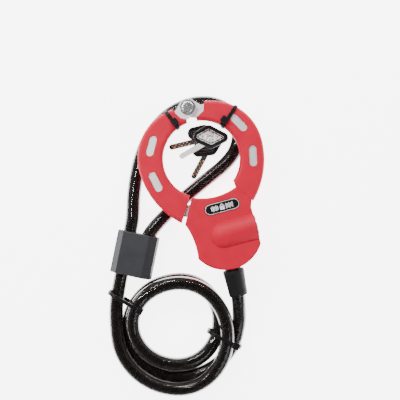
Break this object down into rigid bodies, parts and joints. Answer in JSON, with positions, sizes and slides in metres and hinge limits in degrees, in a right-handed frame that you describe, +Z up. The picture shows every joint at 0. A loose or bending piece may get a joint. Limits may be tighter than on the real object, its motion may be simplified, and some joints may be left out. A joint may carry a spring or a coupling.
{
  "type": "cuff lock with looped cable",
  "caption": "Hinged cuff lock with a key barrel, steel security cable looped through a ferrule, and loose keys.",
  "frame": {"origin": "centre of the cuff's round opening, halfway through the cuff's thickness", "axes": "+Z up through the cuff's opening, away from the floor it lies on; +Y from the cable's wound part towards the cuff's hinge; +X towards the keyhole's side"},
  "size_m": [0.1327, 0.256, 0.0356],
  "materials": {
    "steel": "satin",
    "dark_steel": "satin",
    "zinc_hardware": "polished",
    "red_cover": "satin",
    "badge_black": "gloss",
    "brass": "satin",
    "die_cast": "cast",
    "black_rubber": "matt",
    "cable_jacket": "smoky translucent jacket over steel strands",
    "grey_plastic": "satin",
    "nylon": "satin",
    "key_grip": "gloss",
    "key_blade": "nickel plated",
    "key_inlay": "polished"
  },
  "bodies": {
    "lock_and_cable": {"fixed_plate_1": "steel", "fixed_plate_2": "steel", "fixed_plate_3": "steel", "fixed_plate_4": "steel", "body_spacer": "steel", "fixed_arm_rivets": "zinc_hardware", "fixed_arm_cover": "red_cover", "hinge_bolt": "zinc_hardware", "hinge_washer_top": "zinc_hardware", "hinge_washer_bottom": "zinc_hardware", "hinge_nut": "zinc_hardware", "front_shell": "red_cover", "back_shell": "red_cover", "shell_screws": "zinc_hardware", "badge": "badge_black", "lock_housing": "die_cast", "pin_cap": "dark_steel", "pin_springs": "dark_steel", "driver_pins": "brass", "keyhole_bezel": "zinc_hardware", "cable_anchor": "die_cast", "strain_relief": "black_rubber", "cable_lead": "cable_jacket", "cable_coil": "cable_jacket", "cable_tail": "cable_jacket", "cable_through_ferrule": "cable_jacket", "cable_end_in_ferrule": "cable_jacket", "cable_eye": "cable_jacket", "ferrule_cover": "grey_plastic", "ferrule_crimp": "die_cast", "coil_tie_left": "nylon", "coil_tie_right": "nylon", "fixed_arm_tie": "nylon"},
    "swing_arm": {"swing_plate_1": "steel", "swing_plate_2": "steel", "swing_plate_3": "steel", "swing_plate_4": "steel", "swing_arm_rivets": "zinc_hardware", "swing_arm_cover": "red_cover", "swing_arm_tie": "nylon"},
    "plug": {"key_plug": "brass", "plug_clip": "dark_steel", "key_pins": "brass", "cam": "die_cast", "cam_dowel": "dark_steel"},
    "bolt": {"lock_bolt": "dark_steel"},
    "key_1": {"key_1_grip": "key_grip", "key_1_blade": "key_blade", "key_1_inlay": "key_inlay"},
    "key_2": {"key_2_grip": "key_grip", "key_2_blade": "key_blade", "key_2_inlay": "key_inlay"},
    "key_3": {"key_3_grip": "key_grip", "key_3_blade": "key_blade", "key_3_inlay": "key_inlay"}
  },
  "joints": [
    {"name": "cuff_hinge", "type": "hinge", "parent": "lock_and_cable", "child": "swing_arm", "pos_m": [-0.01152, 0.04298, 0], "axis": [0, 0, -1], "range_deg": [0, 100]},
    {"name": "key_turn", "type": "hinge", "parent": "lock_and_cable", "child": "plug", "pos_m": [0.01721, -0.06423, 0], "axis": [-0.9659, -0.2588, 0], "range_deg": [0, 90]},
    {"name": "bolt_slide", "type": "slide", "parent": "lock_and_cable", "child": "bolt", "axis": [-0.2588, 0.9659, 0], "range_m": [0, 0.0046]},
    {"name": "key_3_lift", "type": "slide", "parent": "lock_and_cable", "child": "key_3", "axis": [0, 0, 1], "range_m": [0, 0.035]},
    {"name": "key_2_lift", "type": "slide", "parent": "key_3", "child": "key_2", "axis": [0, 0, 1], "range_m": [0, 0.03]},
    {"name": "key_1_lift", "type": "slide", "parent": "key_2", "child": "key_1", "axis": [0, 0, 1], "range_m": [0, 0.025]}
  ],
  "couplings": [
    {"joint": "bolt_slide", "follows": "key_turn", "m_per_rad": 0.0029221}
  ]
}
